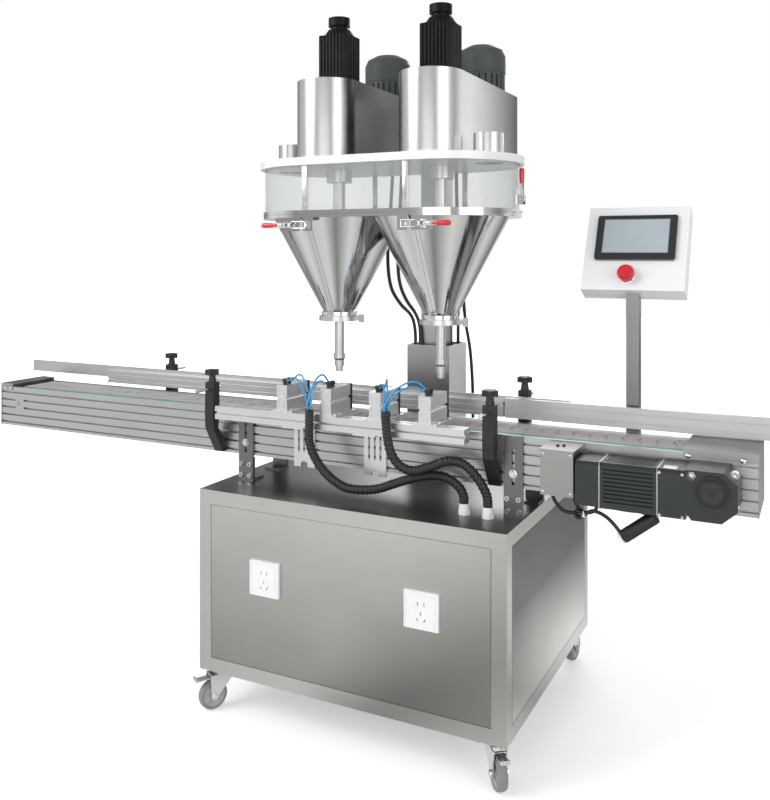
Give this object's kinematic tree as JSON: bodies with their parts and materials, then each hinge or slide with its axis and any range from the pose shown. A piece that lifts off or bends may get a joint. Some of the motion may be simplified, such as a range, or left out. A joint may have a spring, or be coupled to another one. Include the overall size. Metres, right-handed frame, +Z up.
{
  "type": "powder filling machine",
  "caption": "Cabinet on casters with a slat-chain conveyor, sloping operator panel and a raised head whose auger hoppers dose powder through tubes into bottles.",
  "frame": {"origin": "centre of the machine's outline, on the floor under the casters", "axes": "X along the conveyor towards the gear motor end, Y from the front with the sockets to the rear door, Z up"},
  "size_m": [2.293, 0.7828, 1.817],
  "materials": {
    "brushed_sheet": "brushed",
    "polished_steel": "polished",
    "steel_parts": "satin",
    "aluminium_profile": "anodised",
    "black_plastic": "matt",
    "dark_paint": "satin",
    "servo_black": "satin",
    "white_plastic": "satin",
    "clear_acrylic": "clear",
    "red_plastic": "gloss",
    "green_strip": "satin",
    "chain_plastic": "satin",
    "caster_tyre": "matt",
    "caster_steel": "zinc plated",
    "blue_tube": "gloss",
    "black_rubber": "matt",
    "panel_grey": "satin",
    "gear_grey": "satin"
  },
  "bodies": {
    "cabinet": {"cabinet_shell": "brushed_sheet", "cabinet_panels": "brushed_sheet", "control_gear": "gear_grey", "wall_sockets": "white_plastic", "column_box": "brushed_sheet", "support_legs": "steel_parts", "conveyor_frame": "aluminium_profile", "conveyor_chain": "chain_plastic", "wear_strips": "green_strip", "conveyor_covers": "brushed_sheet", "gear_motor": "dark_paint", "motor_cable": "black_rubber", "guide_brackets": "black_plastic", "cylinder_station": "aluminium_profile", "air_tubes": "blue_tube", "conduits": "black_rubber", "cable_glands": "white_plastic", "hmi_post": "aluminium_profile", "hmi_box": "panel_grey"},
    "head": {"column_post": "steel_parts", "top_plate": "white_plastic", "clear_shroud": "clear_acrylic", "hopper_shells": "polished_steel", "drive_covers": "brushed_sheet", "head_motors": "dark_paint", "nozzle_tubes": "steel_parts", "head_cables": "black_rubber"},
    "rear_door": {"rear_door": "brushed_sheet"},
    "door_lock": {"door_lock": "dark_paint"},
    "drive_shaft": {"drive_shaft": "steel_parts"},
    "idler_shaft": {"idler_shaft": "steel_parts"},
    "rear_guide": {"rear_guide": "aluminium_profile"},
    "e_stop_button": {"e_stop_button": "red_plastic"},
    "hopper_door_left": {"hopper_door_left": "polished_steel"},
    "hopper_door_right": {"hopper_door_right": "polished_steel"},
    "auger_left": {"auger_left": "steel_parts"},
    "auger_right": {"auger_right": "steel_parts"},
    "agitator_left": {"agitator_left": "steel_parts"},
    "agitator_right": {"agitator_right": "steel_parts"},
    "latch_lever_left": {"latch_lever_left": "red_plastic"},
    "latch_lever_right": {"latch_lever_right": "red_plastic"},
    "latch_lever_end": {"latch_lever_end": "red_plastic"},
    "fork_front_left": {"fork_front_left": "caster_steel"},
    "wheel_front_left": {"wheel_front_left": "caster_tyre"},
    "knob_front_left": {"knob_front_left": "black_plastic"},
    "fork_front_right": {"fork_front_right": "caster_steel"},
    "wheel_front_right": {"wheel_front_right": "caster_tyre"},
    "knob_front_right": {"knob_front_right": "black_plastic"},
    "fork_rear_left": {"fork_rear_left": "caster_steel"},
    "wheel_rear_left": {"wheel_rear_left": "caster_tyre"},
    "knob_rear_left": {"knob_rear_left": "black_plastic"},
    "fork_rear_right": {"fork_rear_right": "caster_steel"},
    "wheel_rear_right": {"wheel_rear_right": "caster_tyre"},
    "knob_rear_right": {"knob_rear_right": "black_plastic"},
    "pedal_front_left": {"pedal_front_left": "caster_steel"},
    "pedal_front_right": {"pedal_front_right": "caster_steel"},
    "piston_1": {"piston_1": "black_plastic"},
    "piston_2": {"piston_2": "black_plastic"},
    "piston_3": {"piston_3": "black_plastic"},
    "piston_4": {"piston_4": "black_plastic"}
  },
  "joints": [
    {"name": "swivel_front_left", "type": "hinge", "parent": "cabinet", "child": "fork_front_left", "pos_m": [-0.1735, -0.31493, 0.08], "axis": [0, 0, 1], "continuous": true},
    {"name": "roll_front_left", "type": "hinge", "parent": "fork_front_left", "child": "wheel_front_left", "pos_m": [-0.1895, -0.34264, 0.0375], "axis": [0.866, -0.5, 0], "continuous": true},
    {"name": "brake_front_left", "type": "hinge", "parent": "fork_front_left", "child": "pedal_front_left", "pos_m": [-0.1915, -0.34611, 0.0835], "axis": [0.866, -0.5, 0], "range_deg": [0, 15]},
    {"name": "swivel_front_right", "type": "hinge", "parent": "cabinet", "child": "fork_front_right", "pos_m": [0.5765, -0.31493, 0.08], "axis": [0, 0, 1], "continuous": true},
    {"name": "roll_front_right", "type": "hinge", "parent": "fork_front_right", "child": "wheel_front_right", "pos_m": [0.59576, -0.34049, 0.0375], "axis": [0.7986, 0.6018, 0], "continuous": true},
    {"name": "brake_front_right", "type": "hinge", "parent": "fork_front_right", "child": "pedal_front_right", "pos_m": [0.59816, -0.34368, 0.0835], "axis": [0.7986, 0.6018, 0], "range_deg": [0, 15]},
    {"name": "swivel_rear_left", "type": "hinge", "parent": "cabinet", "child": "fork_rear_left", "pos_m": [-0.1735, 0.32107, 0.08], "axis": [0, 0, 1], "continuous": true},
    {"name": "roll_rear_left", "type": "hinge", "parent": "fork_rear_left", "child": "wheel_rear_left", "pos_m": [-0.16361, 0.3515, 0.0375], "axis": [-0.9511, 0.309, 0], "continuous": true},
    {"name": "swivel_rear_right", "type": "hinge", "parent": "cabinet", "child": "fork_rear_right", "pos_m": [0.5765, 0.32107, 0.08], "axis": [0, 0, 1], "continuous": true},
    {"name": "roll_rear_right", "type": "hinge", "parent": "fork_rear_right", "child": "wheel_rear_right", "pos_m": [0.57985, 0.3529, 0.0375], "axis": [-0.9945, 0.1045, 0], "continuous": true},
    {"name": "rear_door_hinge", "type": "hinge", "parent": "cabinet", "child": "rear_door", "pos_m": [-0.1825, 0.37107, 0.34], "axis": [0, 0, 1], "range_deg": [0, 110]},
    {"name": "door_lock_turn", "type": "hinge", "parent": "rear_door", "child": "door_lock", "pos_m": [0.5555, 0.36607, 0.34], "axis": [0, 1, 0], "range_deg": [0, 90]},
    {"name": "head_lift", "type": "slide", "parent": "cabinet", "child": "head", "axis": [0, 0, 1], "range_m": [-0.056, 0.08]},
    {"name": "auger_spin_left", "type": "hinge", "parent": "head", "child": "auger_left", "pos_m": [0.08025, -0.14793, 1.1], "axis": [0, 0, 1], "continuous": true},
    {"name": "agitator_spin_left", "type": "hinge", "parent": "head", "child": "agitator_left", "pos_m": [0.08025, -0.14793, 1.25], "axis": [0, 0, 1], "continuous": true},
    {"name": "hopper_hinge_left", "type": "hinge", "parent": "head", "child": "hopper_door_left", "pos_m": [0.08025, 0.05207, 1.26], "axis": [0, 0, 1], "range_deg": [-95, 0]},
    {"name": "latch_turn_left", "type": "hinge", "parent": "hopper_door_left", "child": "latch_lever_left", "pos_m": [0.05025, -0.34993, 1.26], "axis": [0, 0, 1], "range_deg": [0, 120]},
    {"name": "auger_spin_right", "type": "hinge", "parent": "head", "child": "auger_right", "pos_m": [0.37475, -0.14793, 1.1], "axis": [0, 0, 1], "continuous": true},
    {"name": "agitator_spin_right", "type": "hinge", "parent": "head", "child": "agitator_right", "pos_m": [0.37475, -0.14793, 1.25], "axis": [0, 0, 1], "continuous": true},
    {"name": "hopper_hinge_right", "type": "hinge", "parent": "head", "child": "hopper_door_right", "pos_m": [0.37475, 0.05207, 1.26], "axis": [0, 0, 1], "range_deg": [0, 48]},
    {"name": "latch_turn_right", "type": "hinge", "parent": "hopper_door_right", "child": "latch_lever_right", "pos_m": [0.40475, -0.34993, 1.26], "axis": [0, 0, 1], "range_deg": [-120, 0]},
    {"name": "latch_turn_end", "type": "hinge", "parent": "head", "child": "latch_lever_end", "pos_m": [0.5875, -0.14793, 1.321], "axis": [0, 1, 0], "range_deg": [0, 120]},
    {"name": "drive_spin", "type": "hinge", "parent": "cabinet", "child": "drive_shaft", "pos_m": [1.0415, -0.15993, 0.71172], "axis": [0, 1, 0], "continuous": true},
    {"name": "idler_spin", "type": "hinge", "parent": "cabinet", "child": "idler_shaft", "pos_m": [-1.03495, -0.15993, 0.71172], "axis": [0, 1, 0], "continuous": true},
    {"name": "rear_guide_slide", "type": "slide", "parent": "cabinet", "child": "rear_guide", "axis": [0, 1, 0], "range_m": [-0.05, 0.01]},
    {"name": "piston_stroke_1", "type": "slide", "parent": "cabinet", "child": "piston_1", "axis": [0, 1, 0], "range_m": [0, 0.04]},
    {"name": "piston_stroke_2", "type": "slide", "parent": "cabinet", "child": "piston_2", "axis": [0, 1, 0], "range_m": [0, 0.04]},
    {"name": "piston_stroke_3", "type": "slide", "parent": "cabinet", "child": "piston_3", "axis": [0, 1, 0], "range_m": [0, 0.04]},
    {"name": "piston_stroke_4", "type": "slide", "parent": "cabinet", "child": "piston_4", "axis": [0, 1, 0], "range_m": [0, 0.04]},
    {"name": "e_stop_push", "type": "slide", "parent": "cabinet", "child": "e_stop_button", "axis": [0, 0.891, -0.454], "range_m": [0, 0.005], "stiffness_N_per_m": 2500},
    {"name": "knob_turn_front_left", "type": "hinge", "parent": "cabinet", "child": "knob_front_left", "pos_m": [-0.2465, -0.27093, 0.84], "axis": [0, 0, 1], "range_deg": [0, 360]},
    {"name": "knob_turn_front_right", "type": "hinge", "parent": "cabinet", "child": "knob_front_right", "pos_m": [0.5505, -0.27093, 0.84], "axis": [0, 0, 1], "range_deg": [0, 360]},
    {"name": "knob_turn_rear_left", "type": "hinge", "parent": "cabinet", "child": "knob_rear_left", "pos_m": [-0.5965, -0.02393, 0.84], "axis": [0, 0, 1], "range_deg": [0, 360]},
    {"name": "knob_turn_rear_right", "type": "hinge", "parent": "cabinet", "child": "knob_rear_right", "pos_m": [0.5555, -0.02393, 0.84], "axis": [0, 0, 1], "range_deg": [0, 360]}
  ],
  "couplings": [
    {"joint": "idler_spin", "follows": "drive_spin", "ratio": 1}
  ]
}
